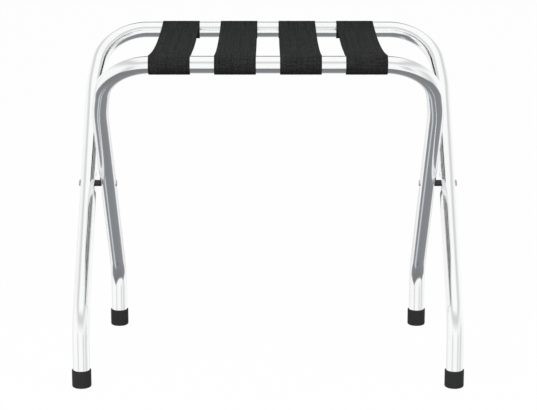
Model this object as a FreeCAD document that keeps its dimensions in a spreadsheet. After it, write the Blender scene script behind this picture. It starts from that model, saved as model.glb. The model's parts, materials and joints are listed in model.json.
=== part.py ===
import FreeCAD, Part
import math
import os
import Sketcher
from FreeCAD import Placement, Rotation, Vector

# Folding luggage rack. Two frames of bent steel tube cross on a rivet at each side, and four webbing straps
# with sewn loops join their top rails. The outer frame runs from the front feet to the rear rail, and the
# narrower inner frame from the rear feet to the front rail.
# Millimetres. +Z is up, +Y is to the rear, and the origin is on the floor, midway between the four feet.

doc = FreeCAD.newDocument("luggage_rack")

# Driving dimensions, each set by itself
SIZES = {
    # Tube frames, along the tube's centreline
    "tube_diameter": 22.2,
    "tube_wall": 1.2,
    "rail_height": 428.5,
    "rail_spacing": 344.4,
    "pivot_height": 241.4,
    "foot_spacing": 291.0,
    "outer_leg_spacing": 487.0,
    "leg_gap": 5.0,
    "corner_radius": 80.0,
    "foot_bend_radius": 70.0,
    # Long flat pressed into each leg where the spacer bears, and the round seat pressed in behind it
    "pinch_depth": 2.15,
    "pinch_flat_length": 20.0,
    "pinch_end_radius": 8.0,
    "seat_depth": 1.0,
    "seat_clearance": 0.6,
    # Rivet, its end cap, and the spacer between the legs
    "rivet_diameter": 6.0,
    "rivet_clearance": 0.05,
    "rivet_head_diameter": 8.8,
    "rivet_head_rim": 1.4,
    "rivet_head_crown": 1.6,
    "rivet_end_length": 1.2,
    "cap_diameter": 8.8,
    "cap_rim": 0.9,
    "cap_crown": 1.1,
    "spacer_diameter": 8.7,
    "spacer_chamfer": 0.6,
    # Rubber tip of a leg
    "foot_wall": 1.55,
    "foot_height": 23.2,
    "foot_sole": 4.5,
    "foot_edge_radius": 2.4,
    "foot_rim_chamfer": 0.5,
    "foot_recess_diameter": 12.0,
    "foot_recess_depth": 1.0,
    # Webbing strap
    "strap_width": 52.0,
    "strap_thickness": 1.0,
    "strap_pitch": 82.0,
    "strap_sag": 8.9,
    "loop_clearance": 0.3,
    "loop_ease": 0.1,
    "loop_reach": 34.0,
    "seam_length": 32.0,
    "crease_gap": 0.3,
}

STRAP_COUNT = 4

# Sizes that follow from the driving dimensions
WORKED = {
    # Tilt of both frames, and lengths along a leg from the pivot
    "lean": "atan(sizes.rail_spacing / 2 / (sizes.rail_height - sizes.pivot_height))",
    "leg_above_pivot": "(sizes.rail_height - sizes.pivot_height) / cos(lean)",
    "leg_below_pivot": "sizes.foot_spacing / 2 / sin(lean)",
    "bend_start": "leg_below_pivot - sizes.foot_bend_radius * tan(lean / 2)",
    # Upright end of a leg, from the corner of its bend to the inside of its rubber tip
    "upright_length": "sizes.pivot_height - leg_below_pivot * cos(lean) - sizes.foot_sole",
    "outer_half": "sizes.outer_leg_spacing / 2",
    "inner_half": "outer_half - sizes.tube_diameter - sizes.leg_gap",
    # From a leg's axis to its pressed flat and to its rivet seat
    "flat_offset": "sizes.tube_diameter / 2 - sizes.pinch_depth",
    "seat_offset": "sizes.tube_diameter / 2 - sizes.seat_depth",
    "rivet_length": "outer_half - inner_half + 2 * seat_offset + sizes.rivet_end_length",
    "rivet_head_height": "sizes.rivet_head_rim + sizes.rivet_head_crown",
    "cap_height": "sizes.cap_rim + sizes.cap_crown",
    "spacer_length": "sizes.leg_gap + 2 * sizes.pinch_depth",
    # The outer straps reach over the bends at the ends of the inner rail, so every loop hangs down along the
    # leg by as much as the tube has dropped there, and a little more
    "strap_row_half": f"{(STRAP_COUNT - 1) / 2} * sizes.strap_pitch + sizes.strap_width / 2",
    "bend_overlap": "max(0; strap_row_half - inner_half + sizes.corner_radius)",
    "bend_inside": "sizes.corner_radius - sizes.tube_diameter / 2",
    "loop_drop": "sizes.loop_ease + bend_inside - sqrt(bend_inside ^ 2 - bend_overlap ^ 2)",
    # Loop of a strap round its rail, and the arc of the sagging span, which is tangent to that loop
    "loop_inside": "sizes.tube_diameter / 2 + sizes.loop_clearance",
    "loop_outside": "loop_inside + sizes.strap_thickness",
    "span_half": "sizes.rail_spacing / 2",
    "span_centre_distance": "(span_half * span_half / sizes.strap_sag + sizes.strap_sag) / 2",
    "span_centre_height": "span_centre_distance - sizes.strap_sag",
}

SIDES = {"left": -1, "right": 1}
NORMAL = Vector(0, 0, 1)

# Sketcher's numbers for a curve's points, and for the sketch's own origin and axes
START, END, CENTRE = range(1, 4)
HORIZONTAL_AXIS, VERTICAL_AXIS = range(-1, -3, -1)
ORIGIN = (HORIZONTAL_AXIS, START)


def fill_sheet(name, rows, prefix=""):
    """Write a sheet with a label in column A and an aliased cell in column B for each row."""
    sheet = doc.addObject("Spreadsheet::Sheet", name)
    for row, (alias, content) in enumerate(rows.items(), start=1):
        sheet.set(f"A{row}", alias)
        sheet.set(f"B{row}", prefix + str(content))
        sheet.setAlias(f"B{row}", alias)
    doc.recompute()
    return sheet


sizes = fill_sheet("sizes", SIZES)
worked = fill_sheet("worked", WORKED, prefix="=")


def number(expression):
    """The value of an expression on the sheets, as a plain number."""
    value = worked.evalExpression(expression)
    return float(getattr(value, "Value", value))


def new_body(label):
    body = doc.addObject("PartDesign::Body", label)
    body.Label = label
    return body


def origin_feature(body, role):
    return next(feature for feature in body.Origin.OriginFeatures if feature.Role == role)


def sketch_on(body, name, role):
    sketch = body.newObject("Sketcher::SketchObject", name)
    sketch.AttachmentSupport = [(origin_feature(body, role), "")]
    sketch.MapMode = "FlatFace"
    return sketch


def bind(sketch, kind, elements, expression):
    """Add a dimension to a sketch and tie it to the sheets."""
    index = sketch.addConstraint(Sketcher.Constraint(kind, *elements, number(expression)))
    sketch.setExpression(f"Constraints[{index}]", expression)


def relate(sketch, kind, *elements):
    sketch.addConstraint(Sketcher.Constraint(kind, *elements))


def pin(sketch, curve, point, across, up):
    """Hold a curve's point at two expressions, measured from the sketch's origin."""
    for kind, axis, expression in (("DistanceX", VERTICAL_AXIS, across), ("DistanceY", HORIZONTAL_AXIS, up)):
        if expression == "0":
            relate(sketch, "PointOnObject", curve, point, axis)
        else:
            bind(sketch, kind, (*ORIGIN, curve, point), expression)


def add_line(sketch, start, end):
    return sketch.addGeometry(Part.LineSegment(start, end))


def add_arc(sketch, centre, start, end):
    """An arc about a centre, counter-clockwise from one point to another."""
    start_angle, end_angle = (math.atan2(point.y - centre.y, point.x - centre.x) for point in (start, end))
    circle = Part.Circle(centre, NORMAL, centre.distanceToPoint(start))
    return sketch.addGeometry(Part.ArcOfCircle(circle, start_angle, end_angle))


def add_circle(sketch, across, up, radius):
    centre = Vector(number(across), number(up))
    circle = sketch.addGeometry(Part.Circle(centre, NORMAL, number(radius)))
    pin(sketch, circle, CENTRE, across, up)
    bind(sketch, "Radius", (circle,), radius)


def add_outline(sketch, corners, arcs=None):
    """Join corners, given as pairs of expressions, in a closed outline. A side whose number is in arcs is a
    counter-clockwise arc of that radius, and the other sides are straight."""
    arcs = arcs or {}
    points = [Vector(number(across), number(up)) for across, up in corners]
    curves = []
    for side, start in enumerate(points):
        end = points[(side + 1) % len(points)]
        if side in arcs:
            chord = end - start
            rise = math.sqrt(number(arcs[side]) ** 2 - chord.Length ** 2 / 4)
            centre = (start + end) / 2 + Vector(-chord.y, chord.x) * (rise / chord.Length)
            curves.append(add_arc(sketch, centre, start, end))
        else:
            curves.append(add_line(sketch, start, end))
    for side, curve in enumerate(curves):
        relate(sketch, "Coincident", curve, END, curves[(side + 1) % len(curves)], START)
        pin(sketch, curve, START, *corners[side])
        if side in arcs:
            bind(sketch, "Radius", (curve,), arcs[side])


def revolve(body, sketch, axis_role):
    turned = body.newObject("PartDesign::Revolution", "turned")
    turned.Profile = sketch
    turned.ReferenceAxis = (origin_feature(body, axis_role), [""])
    turned.Angle = 360


def extrude_both_ways(body, sketch, length):
    pad = body.newObject("PartDesign::Pad", "width")
    pad.Profile = sketch
    pad.SideType = "Symmetric"
    pad.setExpression("Length", length)


def cut_through(body, sketch, name):
    """Cut a sketch through the whole body, to both sides of the sketch's plane."""
    pocket = body.newObject("PartDesign::Pocket", name)
    pocket.Profile = sketch
    pocket.SideType = "Symmetric"
    pocket.Type = "ThroughAll"


def sweep(body, name, section, path):
    pipe = body.newObject("PartDesign::AdditivePipe", name)
    pipe.Profile = section
    pipe.Spine = (path, [f"Edge{edge + 1}" for edge in range(path.GeometryCount)])
    return pipe


def place(piece, across="0", back="0", up="0"):
    """Tie a piece's position to the sheets."""
    for axis, expression in (("x", across), ("y", back), ("z", up)):
        piece.setExpression(f"Placement.Base.{axis}", expression)


# A frame's own axes: X across, Z along the legs, and the pivot at the origin


def arch_path(body, half):
    """Centreline of a frame's two legs and its rail, with a round corner at each end of the rail."""
    path = sketch_on(body, "arch_path", "XZ_Plane")
    foot = -number("worked.bend_start")
    side = number(half)
    top = number("worked.leg_above_pivot")
    radius = number("sizes.corner_radius")
    left = add_line(path, Vector(-side, foot), Vector(-side, top - radius))
    right = add_line(path, Vector(side, top - radius), Vector(side, foot))
    rail = add_line(path, Vector(-side + radius, top), Vector(side - radius, top))
    for sign, first, second in ((-1, rail, left), (1, right, rail)):
        centre = Vector(sign * (side - radius), top - radius)
        ends = [centre + Vector(0, radius), centre + Vector(sign * radius, 0)]
        corner = add_arc(path, centre, *ends[:: -sign])
        relate(path, "Tangent", corner, START, first, START)
        relate(path, "Tangent", corner, END, second, END)
        bind(path, "Radius", (corner,), "sizes.corner_radius")
    relate(path, "Vertical", left)
    relate(path, "Vertical", right)
    relate(path, "Horizontal", rail)
    pin(path, left, START, f"-{half}", "-worked.bend_start")
    pin(path, right, END, half, "-worked.bend_start")
    bind(path, "DistanceY", (*ORIGIN, rail, START), "worked.leg_above_pivot")
    return path


def foot_path(body, half, lean_sign):
    """Centreline of the left leg's lower end: a bend that sets it upright, and the upright stretch."""
    path = sketch_on(body, "foot_path", "YZ_Plane")
    path.setExpression("AttachmentOffset.Base.z", f"-{half}")
    lean = math.radians(number("worked.lean"))
    radius = number("sizes.foot_bend_radius")
    start = Vector(0, -number("worked.bend_start"))
    centre = start + Vector(lean_sign * radius, 0)
    bend_end = centre + Vector(-lean_sign * math.cos(lean), -math.sin(lean)) * radius
    across = f"{lean_sign} * worked.upright_length * sin(worked.lean)"
    up = "-worked.leg_below_pivot - worked.upright_length * cos(worked.lean)"
    straight = add_line(path, bend_end, Vector(number(across), number(up)))
    ends = [start, bend_end]
    points = [START, END]
    bend = add_arc(path, centre, *ends[::lean_sign])
    bend_start, bend_stop = points[::lean_sign]
    pin(path, bend, bend_start, "0", "-worked.bend_start")
    bind(path, "DistanceY", (*ORIGIN, bend, CENTRE), "-worked.bend_start")
    bind(path, "Radius", (bend,), "sizes.foot_bend_radius")
    relate(path, "Tangent", bend, bend_stop, straight, START)
    pin(path, straight, END, across, up)
    return path


def press_flats(body, half, flat_side, skin):
    """Press each leg at the pivot, on the side where the spacer bears, with a punch that has a long flat face
    and round shoulders. skin is how far inside the tube's surface the pressed one lies."""
    punches = sketch_on(body, "flat_punches", "XZ_Plane")
    nose_radius = f"(sizes.pinch_end_radius + {skin})"
    radius = number(nose_radius)
    flat = number("sizes.pinch_flat_length / 2")
    for leg in (-1, 1):
        across = f"{leg} * ({half} + {flat_side} * (worked.flat_offset + sizes.pinch_end_radius))"
        top = Vector(number(across), flat)
        bottom = Vector(number(across), -flat)
        wide = Vector(radius, 0)
        upper = add_arc(punches, top, top + wide, top - wide)
        near = add_line(punches, top - wide, bottom - wide)
        lower = add_arc(punches, bottom, bottom - wide, bottom + wide)
        far = add_line(punches, bottom + wide, top + wide)
        ring = [upper, near, lower, far]
        for first, second in zip(ring, ring[1:] + ring[:1]):
            relate(punches, "Tangent", first, END, second, START)
        pin(punches, upper, CENTRE, across, "sizes.pinch_flat_length / 2")
        pin(punches, lower, CENTRE, across, "-sizes.pinch_flat_length / 2")
        bind(punches, "Radius", (upper,), nose_radius)
    cut_through(body, punches, "flats")


def press_seats(body, half, seat_side, seat_radius, skin):
    """Press a round seat into the other side of each leg, for the rivet's head or cap."""
    for leg in (-1, 1):
        punch = sketch_on(body, "seat_punch", "YZ_Plane")
        offset = f"{leg} * ({half} + {seat_side} * (worked.seat_offset - {skin}))"
        punch.setExpression("AttachmentOffset.Base.z", offset)
        add_circle(punch, "0", "0", f"{seat_radius} + sizes.seat_clearance + {skin}")
        seat = body.newObject("PartDesign::Pocket", "seat")
        seat.Profile = punch
        seat.Reversed = leg * seat_side > 0
        seat.setExpression("Length", "sizes.tube_diameter / 2")


def bent_rod(label, half, lean_sign, seat_radius, skin):
    """A solid rod along a whole frame, pressed at the pivot. Its surface lies skin inside the tube's."""
    body = new_body(label)
    section = sketch_on(body, "section", "XY_Plane")
    section.setExpression("AttachmentOffset.Base.z", "-worked.bend_start")
    add_circle(section, f"-{half}", "0", f"sizes.tube_diameter / 2 - {skin}")
    sweep(body, "arch", section, arch_path(body, half))
    foot = sweep(body, "left_foot", section, foot_path(body, half, lean_sign))
    feet = body.newObject("PartDesign::Mirrored", "right_foot")
    feet.Originals = [foot]
    feet.MirrorPlane = (origin_feature(body, "YZ_Plane"), [""])
    body.Tip = feet
    doc.recompute()
    press_flats(body, half, -lean_sign, skin)
    press_seats(body, half, lean_sign, seat_radius, skin)
    return body


def frame_tube(label, half, lean_sign, seat_radius):
    """A frame's tube: its bent rod with the rivet holes, less a bore that leaves the wall everywhere. The
    outer frame leans back, with lean_sign 1, and its rivet seats face outwards; the inner frame is the other
    way round."""
    rod = bent_rod(f"{label}_rod", half, lean_sign, seat_radius, "0")
    holes = sketch_on(rod, "rivet_holes", "YZ_Plane")
    add_circle(holes, "0", "0", "sizes.rivet_diameter / 2 + sizes.rivet_clearance")
    cut_through(rod, holes, "rivet_hole")
    bore = bent_rod(f"{label}_bore", half, lean_sign, seat_radius, "sizes.tube_wall")
    tube = doc.addObject("Part::Cut", label)
    tube.Label = label
    tube.Base = rod
    tube.Tool = bore
    tube.Placement = Placement(Vector(), Rotation(Vector(1, 0, 0), -lean_sign * number("worked.lean")))
    tube.setExpression("Placement.Rotation.Angle", f"-{lean_sign} * worked.lean")
    place(tube, up="sizes.pivot_height")
    return tube


def rubber_foot(label, half, side, back):
    """A rubber tip: a cup over the end of a leg, with a chamfered rim, a round lower edge and a shallow recess
    in its sole."""
    foot = new_body(label)
    profile = sketch_on(foot, "profile", "XZ_Plane")
    recess = "sizes.foot_recess_diameter / 2"
    inside = "sizes.tube_diameter / 2"
    outside = f"({inside} + sizes.foot_wall)"
    rim = "sizes.foot_rim_chamfer"
    corners = [
        ("0", "sizes.foot_recess_depth"),
        (recess, "sizes.foot_recess_depth"),
        (recess, "0"),
        (f"{outside} - sizes.foot_edge_radius", "0"),
        (outside, "sizes.foot_edge_radius"),
        (outside, f"sizes.foot_height - {rim}"),
        (f"{outside} - {rim}", "sizes.foot_height"),
        (inside, "sizes.foot_height"),
        (inside, "sizes.foot_sole"),
        ("0", "sizes.foot_sole"),
    ]
    add_outline(profile, corners, arcs={3: "sizes.foot_edge_radius"})
    revolve(foot, profile, "Z_Axis")
    place(foot, f"{side} * {half}", back)
    return foot


def seat_at_pivot(piece, side, offset):
    """Set a piece on the pivot's axis, with its own +X pointing away from the middle of the rack."""
    if side < 0:
        piece.Placement.Rotation = Rotation(NORMAL, 180)
    place(piece, f"{side} * ({offset})", "0", "sizes.pivot_height")


def dome_radius(diameter, crown):
    """Radius of the sphere that a dome of this diameter and crown is cut from."""
    return f"({diameter} * {diameter} / 4 / {crown} + {crown}) / 2"


def pivot_rivet(label, side):
    """The rivet: a low domed head in the outer leg's seat, and a shank through both legs and the spacer."""
    rivet = new_body(label)
    profile = sketch_on(rivet, "profile", "XY_Plane")
    head = "sizes.rivet_head_diameter / 2"
    shank = "sizes.rivet_diameter / 2"
    corners = [
        ("-worked.rivet_length", "0"),
        ("worked.rivet_head_height", "0"),
        ("sizes.rivet_head_rim", head),
        ("0", head),
        ("0", shank),
        ("-worked.rivet_length", shank),
    ]
    dome = dome_radius("sizes.rivet_head_diameter", "sizes.rivet_head_crown")
    add_outline(profile, corners, arcs={1: dome})
    revolve(rivet, profile, "X_Axis")
    seat_at_pivot(rivet, side, "worked.outer_half + worked.seat_offset")
    return rivet


def rivet_cap(label, side):
    """The domed cap pressed on the rivet's inner end, in the inner leg's seat."""
    cap = new_body(label)
    profile = sketch_on(cap, "profile", "XY_Plane")
    outside = "sizes.cap_diameter / 2"
    shank = "sizes.rivet_diameter / 2"
    corners = [
        ("-worked.cap_height", "0"),
        ("-sizes.rivet_end_length", "0"),
        ("-sizes.rivet_end_length", shank),
        ("0", shank),
        ("0", outside),
        ("-sizes.cap_rim", outside),
    ]
    add_outline(profile, corners, arcs={5: dome_radius("sizes.cap_diameter", "sizes.cap_crown")})
    revolve(cap, profile, "X_Axis")
    seat_at_pivot(cap, side, "worked.inner_half - worked.seat_offset")
    return cap


def pivot_spacer(label, side):
    """The round plastic spacer between the pressed flats of the two legs."""
    spacer = new_body(label)
    profile = sketch_on(spacer, "profile", "XY_Plane")
    outside = "sizes.spacer_diameter / 2"
    bore = "sizes.rivet_diameter / 2 + sizes.rivet_clearance"
    half_length = "worked.spacer_length / 2"
    edge = "sizes.spacer_chamfer"
    corners = [
        (f"-{half_length}", bore),
        (half_length, bore),
        (half_length, f"{outside} - {edge}"),
        (f"{half_length} - {edge}", outside),
        (f"-{half_length} + {edge}", outside),
        (f"-{half_length}", f"{outside} - {edge}"),
    ]
    add_outline(profile, corners)
    revolve(spacer, profile, "X_Axis")
    seat_at_pivot(spacer, side, "(worked.outer_half + worked.inner_half) / 2")
    return spacer


def strap_profile(sketch):
    """Half a strap seen along its rail, which is at the origin: the sagging span, the loop round the rail, and
    the end of the webbing, which comes up tangent to the loop and is sewn under the span."""
    inside = number("worked.loop_inside")
    outside = number("worked.loop_outside")
    thickness = number("sizes.strap_thickness")
    reach = number("sizes.loop_reach")
    distance = number("worked.span_centre_distance")
    rail = Vector(0, 0)
    low_across = "worked.loop_drop * sin(worked.lean)"
    low_up = "-worked.loop_drop * cos(worked.lean)"
    low = Vector(number(low_across), number(low_up))
    far_side = Vector(low.y, -low.x).normalize()
    centre = Vector(number("worked.span_half"), number("worked.span_centre_height"))
    towards_centre = centre / distance

    def on_span(radius, across):
        return Vector(across, centre.y - math.sqrt(radius ** 2 - (centre.x - across) ** 2))

    top_radius = distance - outside
    under_radius = top_radius + thickness
    tail_radius = under_radius + thickness
    middle = number("worked.span_half - sizes.crease_gap / 2")
    tail_end = number("sizes.loop_reach + sizes.seam_length")
    tail_start = on_span(tail_radius, reach)
    corner = on_span(under_radius, reach - thickness * inside / reach)
    tail_way = tail_start - low
    turn = math.atan2(tail_way.y, tail_way.x) - math.acos(outside / tail_way.Length)
    leaving = Vector(math.cos(turn), math.sin(turn))

    top = add_arc(sketch, centre, towards_centre * outside, on_span(top_radius, middle))
    loop = add_arc(sketch, rail, towards_centre * outside, far_side * outside)
    hang = add_line(sketch, far_side * outside, low + far_side * outside)
    bottom = add_arc(sketch, low, low + far_side * outside, low + leaving * outside)
    tail = add_line(sketch, low + leaving * outside, tail_start)
    seam = add_arc(sketch, centre, tail_start, on_span(tail_radius, tail_end))
    tail_edge = add_line(sketch, on_span(tail_radius, tail_end), on_span(under_radius, tail_end))
    under = add_arc(sketch, centre, on_span(under_radius, tail_end), on_span(under_radius, middle))
    crease = add_line(sketch, on_span(under_radius, middle), on_span(top_radius, middle))
    hole_loop = add_arc(sketch, rail, towards_centre * inside, far_side * inside)
    hole_hang = add_line(sketch, far_side * inside, low + far_side * inside)
    hole_bottom = add_arc(sketch, low, low + far_side * inside, low + leaving * inside)
    hole_tail = add_line(sketch, low + leaving * inside, corner)
    hole_span = add_arc(sketch, centre, towards_centre * inside, corner)

    relate(sketch, "Tangent", loop, START, top, START)
    relate(sketch, "Tangent", hole_loop, START, hole_span, START)
    for ring in ((loop, hang, bottom, tail), (hole_loop, hole_hang, hole_bottom, hole_tail)):
        for first, second in zip(ring, ring[1:]):
            relate(sketch, "Tangent", first, END, second, START)
    for first, second in ((tail, seam), (seam, tail_edge), (tail_edge, under), (under, crease)):
        relate(sketch, "Coincident", first, END, second, START)
    relate(sketch, "Coincident", crease, END, top, END)
    relate(sketch, "Coincident", hole_span, END, hole_tail, END)
    for curve in (loop, hole_loop):
        relate(sketch, "Coincident", curve, CENTRE, *ORIGIN)
    for curve in (seam, under, hole_span):
        relate(sketch, "Coincident", curve, CENTRE, top, CENTRE)
    relate(sketch, "Coincident", hole_bottom, CENTRE, bottom, CENTRE)
    for first, second in ((under, hole_span), (loop, bottom), (hole_loop, hole_bottom)):
        relate(sketch, "Equal", first, second)
    relate(sketch, "Parallel", tail, hole_tail)
    relate(sketch, "Vertical", tail_edge)
    relate(sketch, "Vertical", crease)
    pin(sketch, top, CENTRE, "worked.span_half", "worked.span_centre_height")
    pin(sketch, bottom, CENTRE, low_across, low_up)
    bind(sketch, "Radius", (loop,), "worked.loop_outside")
    bind(sketch, "Radius", (hole_loop,), "worked.loop_inside")
    bind(sketch, "Radius", (seam,), "worked.span_centre_distance - worked.loop_inside + sizes.strap_thickness")
    bind(sketch, "DistanceX", (*ORIGIN, seam, START), "sizes.loop_reach")
    bind(sketch, "DistanceX", (*ORIGIN, seam, END), "sizes.loop_reach + sizes.seam_length")
    bind(sketch, "DistanceX", (*ORIGIN, crease, START), "worked.span_half - sizes.crease_gap / 2")


def strap_half(label, place_in_row, rail_sign):
    """One half of a strap, from its rail to the middle of the span, where the strap creases as it folds."""
    strap = new_body(label)
    profile = sketch_on(strap, "profile", "YZ_Plane")
    strap_profile(profile)
    extrude_both_ways(strap, profile, "sizes.strap_width")
    if rail_sign > 0:
        strap.Placement.Rotation = Rotation(NORMAL, 180)
    across = f"{place_in_row - (STRAP_COUNT - 1) / 2} * sizes.strap_pitch"
    place(strap, across, f"{rail_sign} * worked.span_half", "sizes.rail_height")
    return strap


pieces = [
    frame_tube("outer_frame_tube", "worked.outer_half", 1, "sizes.rivet_head_diameter / 2"),
    frame_tube("inner_frame_tube", "worked.inner_half", -1, "sizes.cap_diameter / 2"),
]
for side_name, side in SIDES.items():
    pieces += [
        rubber_foot(f"front_foot_{side_name}", "worked.outer_half", side, "-sizes.foot_spacing / 2"),
        rubber_foot(f"rear_foot_{side_name}", "worked.inner_half", side, "sizes.foot_spacing / 2"),
        pivot_rivet(f"pivot_rivet_{side_name}", side),
        rivet_cap(f"rivet_cap_{side_name}", side),
        pivot_spacer(f"pivot_spacer_{side_name}", side),
    ]
for strap_number in range(STRAP_COUNT):
    pieces += [
        strap_half(f"front_strap_half_{strap_number + 1}", strap_number, -1),
        strap_half(f"rear_strap_half_{strap_number + 1}", strap_number, 1),
    ]
doc.recompute()

for item in doc.Objects:
    if {"Invalid", "Error"} & set(item.State):
        raise RuntimeError(f"{item.Label} failed: {item.State}")
for piece in pieces:
    if piece.Shape.isNull() or not piece.Shape.isValid():
        raise RuntimeError(f"{piece.Label} has no valid shape")

os.makedirs("parts", exist_ok=True)
for piece in pieces:
    piece.Shape.exportStep(f"parts/{piece.Label}.step")
    box = piece.Shape.BoundBox
    print(
        f"{piece.Label}: {len(piece.Shape.Solids)} solid, {piece.Shape.Volume:.1f} mm3,"
        f" {box.XLength:.1f} x {box.YLength:.1f} x {box.ZLength:.1f} mm"
    )
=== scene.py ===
# %% [markdown]
# # A folding luggage rack
# The rack is an X-shaped stand: two chromed tube frames cross on a rivet at each side, and four black
# webbing straps hang between their top rails. The CAD model fixes every size and joint. This lesson dresses
# it: smooth mirror-bright tubes, woven straps that are really ribbed and sewn, moulded rubber tips and
# small turned pieces.

# %% Load the frame
import json
import math

import bpy
import numpy as np
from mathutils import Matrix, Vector


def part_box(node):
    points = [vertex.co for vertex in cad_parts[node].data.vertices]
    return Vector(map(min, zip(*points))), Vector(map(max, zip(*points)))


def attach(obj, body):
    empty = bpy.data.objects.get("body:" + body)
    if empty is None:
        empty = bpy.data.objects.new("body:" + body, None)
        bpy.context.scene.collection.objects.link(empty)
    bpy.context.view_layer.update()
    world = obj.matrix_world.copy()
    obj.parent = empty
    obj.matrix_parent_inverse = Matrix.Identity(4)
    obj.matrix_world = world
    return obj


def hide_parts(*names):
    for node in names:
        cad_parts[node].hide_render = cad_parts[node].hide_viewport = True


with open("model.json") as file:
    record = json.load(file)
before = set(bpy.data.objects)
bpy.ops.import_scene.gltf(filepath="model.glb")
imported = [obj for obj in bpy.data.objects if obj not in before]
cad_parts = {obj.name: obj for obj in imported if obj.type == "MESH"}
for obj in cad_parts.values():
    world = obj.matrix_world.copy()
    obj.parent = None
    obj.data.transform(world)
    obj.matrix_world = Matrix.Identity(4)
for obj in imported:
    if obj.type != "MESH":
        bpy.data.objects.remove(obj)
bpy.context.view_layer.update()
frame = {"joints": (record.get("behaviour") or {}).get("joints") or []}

# %% [markdown]
# Everything is placed from the frame. The fold joint gives the pivot, the two strap joints give the rails,
# and the boxes of the rubber tips give the legs. A learner could type these numbers in, but then the looks
# would drift from the CAD model as soon as it changed.

# %% Read the places of the pivot, rails and legs
joint_places = {joint["name"]: Vector(joint["pos_m"]) for joint in frame["joints"]}
pivot = joint_places["fold"]
rails = {"rear": joint_places["rear_strap_turn"], "front": joint_places["front_strap_turn"]}


def middle(node):
    low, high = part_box(node)
    return (low + high) / 2


foot_places = {end: middle(f"{end}_foot_right") for end in ("front", "rear")}
outer_half = foot_places["front"].x
inner_half = foot_places["rear"].x
lean = math.atan2(rails["rear"].y, rails["rear"].z - pivot.z)
print(f"legs at {outer_half:.4f} and {inner_half:.4f} m, leaning {math.degrees(lean):.2f} degrees")

# %% [markdown]
# Node trees are easier to read as sums than as boxes and noodles. `Wire` wraps an output socket, so that
# `1 - mask * 0.2` adds the Math nodes by itself, and `Board.add` makes any other node: its settings first,
# then the values or wires of its sockets. Shader trees and Geometry Nodes trees share both.


# %% Helpers for node trees
class Wire:
    """An output socket that can stand in a sum. Each sum adds a Math node."""

    def __init__(self, board, socket):
        self.board = board
        self.socket = socket

    def math(self, operation, *values):
        made = self.board.add("ShaderNodeMath", {"operation": operation}, dict(enumerate(values)))
        return made["Value"]

    def __add__(self, other):
        return self.math("ADD", self, other)

    def __radd__(self, other):
        return self.math("ADD", other, self)

    def __sub__(self, other):
        return self.math("SUBTRACT", self, other)

    def __rsub__(self, other):
        return self.math("SUBTRACT", other, self)

    def __mul__(self, other):
        return self.math("MULTIPLY", self, other)

    def __rmul__(self, other):
        return self.math("MULTIPLY", other, self)

    def __truediv__(self, other):
        return self.math("DIVIDE", self, other)

    def __abs__(self):
        return self.math("ABSOLUTE", self)

    def step(self, low, high):
        """A smooth step from 0 at low to 1 at high."""
        settings = {"interpolation_type": "SMOOTHSTEP"}
        return self.board.add("ShaderNodeMapRange", settings, {0: self, 1: low, 2: high})["Result"]


class Board:
    """A node tree that is filled one node at a time."""

    def __init__(self, tree):
        self.tree = tree

    def add(self, kind, settings=None, inputs=None):
        """Make a node of a kind, and give back its outputs by name."""
        node = self.tree.nodes.new(kind)
        for name, value in (settings or {}).items():
            setattr(node, name, value)
        for key, value in (inputs or {}).items():
            socket = node.inputs[key] if isinstance(key, int) else self.find(node, key)
            if isinstance(value, Wire):
                self.tree.links.new(value.socket, socket)
            else:
                socket.default_value = value
        return {socket.name: Wire(self, socket) for socket in node.outputs if socket.enabled}

    def find(self, node, name):
        return next(socket for socket in node.inputs if socket.enabled and socket.name == name)

    def mix(self, factor, first, second):
        """One colour turning into another."""
        settings = {"data_type": "RGBA"}
        return self.add("ShaderNodeMix", settings, {"Factor": factor, "A": first, "B": second})["Result"]

    def noise(self, place, scale, detail=2.0):
        inputs = {"Vector": place, "Scale": scale, "Detail": detail}
        return list(self.add("ShaderNodeTexNoise", {}, inputs).values())[0]

    def bump(self, height, distance):
        return self.add("ShaderNodeBump", {}, {"Height": height, "Distance": distance})["Normal"]


# %% [markdown]
# A material starts as an empty tree. Its patterns are laid out in Object coordinates: every finished piece
# keeps its place in its mesh and its object at the origin, so they are metres in the rack's own frame.


# %% Helpers for materials
def new_material(name):
    material = bpy.data.materials.new(name)
    material.use_nodes = True
    material.node_tree.nodes.clear()
    return material, Board(material.node_tree)


def object_place(board):
    return board.add("ShaderNodeTexCoord")["Object"]


def paint(board, **sockets):
    """Finish a material with one Principled shader. Socket names are written with _ for a space."""
    inputs = {name.replace("_", " "): value for name, value in sockets.items()}
    shader = board.add("ShaderNodeBsdfPrincipled", {}, inputs)["BSDF"]
    board.add("ShaderNodeOutputMaterial", {}, {"Surface": shader})


def stretched(board, place, scale):
    """Object coordinates drawn out or squeezed along each axis."""
    return board.add("ShaderNodeMapping", {}, {"Vector": place, "Scale": scale})["Vector"]


# %% [markdown]
# Bright chrome is nearly a mirror. What makes it look plated and not computed is slight: a broad change in
# roughness where hands have dulled it, and a faint waviness of the polished steel under the plate. Both
# come from noise in Object coordinates, and neither is strong enough to break up the long reflections along
# the tubes.


# %% Chrome
def bright_chrome():
    material, board = new_material("bright_chrome")
    place = object_place(board)
    handled = board.noise(place, 9.0, 3.0).step(0.42, 0.72)
    fine = board.noise(place, 900.0)
    waves = board.noise(place, 40.0)
    paint(
        board,
        Base_Color=board.mix(handled, (0.955, 0.96, 0.965, 1), (0.935, 0.94, 0.945, 1)),
        Metallic=1.0,
        Roughness=0.13 + 0.04 * handled + 0.02 * fine,
        Normal=board.bump(waves, 0.000008),
    )
    return material


chrome = bright_chrome()
print("made", chrome.name)

# %% [markdown]
# The rivets and their caps are bright zinc-plated steel: darker than chrome, with the fine rings that a
# forming die leaves. The spacers are moulded black plastic, which takes a smooth and fairly shiny skin from
# its mould. Noise gives both the small unevenness that a single value would lack.


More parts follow.
